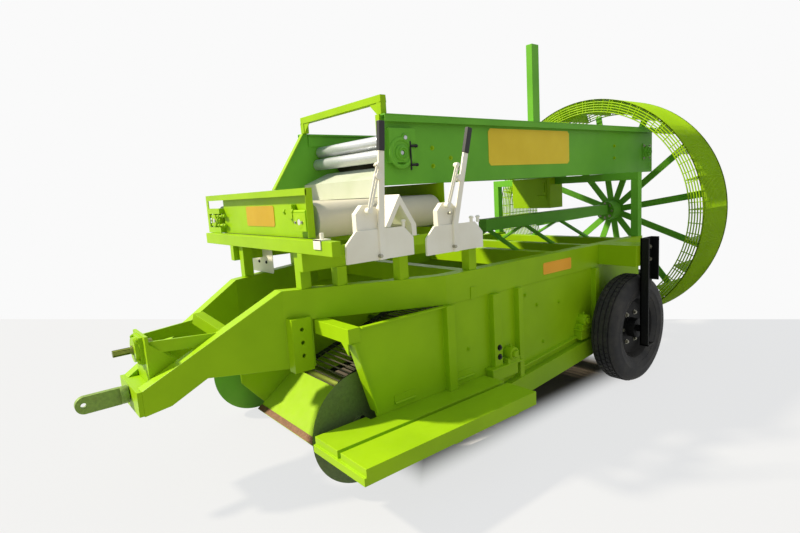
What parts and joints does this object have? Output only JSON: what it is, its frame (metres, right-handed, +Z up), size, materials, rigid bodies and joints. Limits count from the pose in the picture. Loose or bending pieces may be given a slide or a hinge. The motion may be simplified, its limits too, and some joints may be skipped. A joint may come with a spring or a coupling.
{
  "type": "potato digger",
  "caption": "Trailed potato digger: share and disc coulters, rod web, ring elevator, picking conveyor above, cross belt with bag clamps, standing platform and drawbar.",
  "frame": {"origin": "middle of the box that holds the part, on the ground", "axes": "+X to the rear (the ring), -X to the drawbar, +Y to the right side, +Z up"},
  "size_m": [4.827, 2.214, 2.42],
  "materials": {
    "lime_paint": "gloss paint",
    "cream_paint": "gloss paint",
    "dark_steel": "worn steel",
    "disc_steel": "rolled steel, oiled",
    "web_steel": "worn steel rods",
    "bearing_iron": "painted casting",
    "tyre_rubber": "matte",
    "rim_black": "satin",
    "leg_black": "satin",
    "belt_cream": "matte belt",
    "belt_black": "matte belt",
    "roller_white": "satin",
    "grip_black": "matte"
  },
  "bodies": {
    "chassis": {"axle_stubs": "leg_black", "bag_holders": "cream_paint", "bag_levers": "cream_paint", "bag_table": "lime_paint", "bearing_blocks": "bearing_iron", "conveyor_head": "lime_paint", "conveyor_legs": "lime_paint", "cross_belt": "belt_cream", "cross_drums": "roller_white", "cross_tubes": "lime_paint", "cross_wall_front": "lime_paint", "cross_wall_rear": "lime_paint", "drop_panel": "lime_paint", "front_headers": "lime_paint", "hanger_plates": "lime_paint", "hitch_plate": "lime_paint", "lever_grips": "grip_black", "main_beam_left": "lime_paint", "main_beam_right": "lime_paint", "mast_post": "lime_paint", "outlet_divider": "cream_paint", "outriggers": "lime_paint", "pick_belt": "belt_black", "pick_drums": "roller_white", "pick_wall_left": "lime_paint", "pick_wall_right": "lime_paint", "platform": "lime_paint", "pto_stand": "lime_paint", "rear_panels": "lime_paint", "ring_backbone": "lime_paint", "ring_carriers": "lime_paint", "ring_spindle": "dark_steel", "rod_web": "web_steel", "share": "dark_steel", "share_cheeks": "lime_paint", "side_wall_left": "lime_paint", "side_wall_right": "lime_paint", "table_posts": "lime_paint", "top_frame": "lime_paint", "web_shafts": "dark_steel", "web_tails": "lime_paint", "wheel_leg_left": "leg_black", "wheel_leg_right": "leg_black"},
    "wheel_left": {"tyre_left": "tyre_rubber", "rim_left": "rim_black"},
    "wheel_right": {"tyre_right": "tyre_rubber", "rim_right": "rim_black"},
    "disc_left": {"disc_left": "disc_steel"},
    "disc_right": {"disc_right": "disc_steel"},
    "ring": {"ring_basket": "lime_paint", "ring_spokes": "lime_paint"},
    "tongue": {"hitch_tongue": "dark_steel"},
    "pto": {"pto_shaft": "dark_steel"},
    "roller_upper": {"roller_upper": "roller_white"},
    "roller_lower": {"roller_lower": "roller_white"}
  },
  "joints": [
    {"name": "wheel_left_spin", "type": "hinge", "parent": "chassis", "child": "wheel_left", "pos_m": [0.9655, -0.91, 0.39], "axis": [0, 1, 0], "continuous": true},
    {"name": "wheel_right_spin", "type": "hinge", "parent": "chassis", "child": "wheel_right", "pos_m": [0.9655, 0.94, 0.39], "axis": [0, 1, 0], "continuous": true},
    {"name": "disc_left_spin", "type": "hinge", "parent": "chassis", "child": "disc_left", "pos_m": [-1.2495, -0.635, 0.295], "axis": [0, 1, 0], "continuous": true},
    {"name": "disc_right_spin", "type": "hinge", "parent": "chassis", "child": "disc_right", "pos_m": [-1.2495, 0.665, 0.295], "axis": [0, 1, 0], "continuous": true},
    {"name": "ring_spin", "type": "hinge", "parent": "chassis", "child": "ring", "pos_m": [2.3235, 0.015, 1.152], "axis": [1, 0, 0], "continuous": true},
    {"name": "tongue_swivel", "type": "hinge", "parent": "chassis", "child": "tongue", "pos_m": [-2.1865, 0.015, 0.563], "axis": [1, 0, 0], "continuous": true},
    {"name": "pto_spin", "type": "hinge", "parent": "chassis", "child": "pto", "pos_m": [-2.1365, 0.015, 0.775], "axis": [1, 0, 0], "continuous": true},
    {"name": "roller_upper_spin", "type": "hinge", "parent": "chassis", "child": "roller_upper", "pos_m": [-0.7065, 0.015, 1.772], "axis": [0, 1, 0], "continuous": true},
    {"name": "roller_lower_spin", "type": "hinge", "parent": "chassis", "child": "roller_lower", "pos_m": [-0.7365, 0.015, 1.688], "axis": [0, 1, 0], "continuous": true}
  ]
}
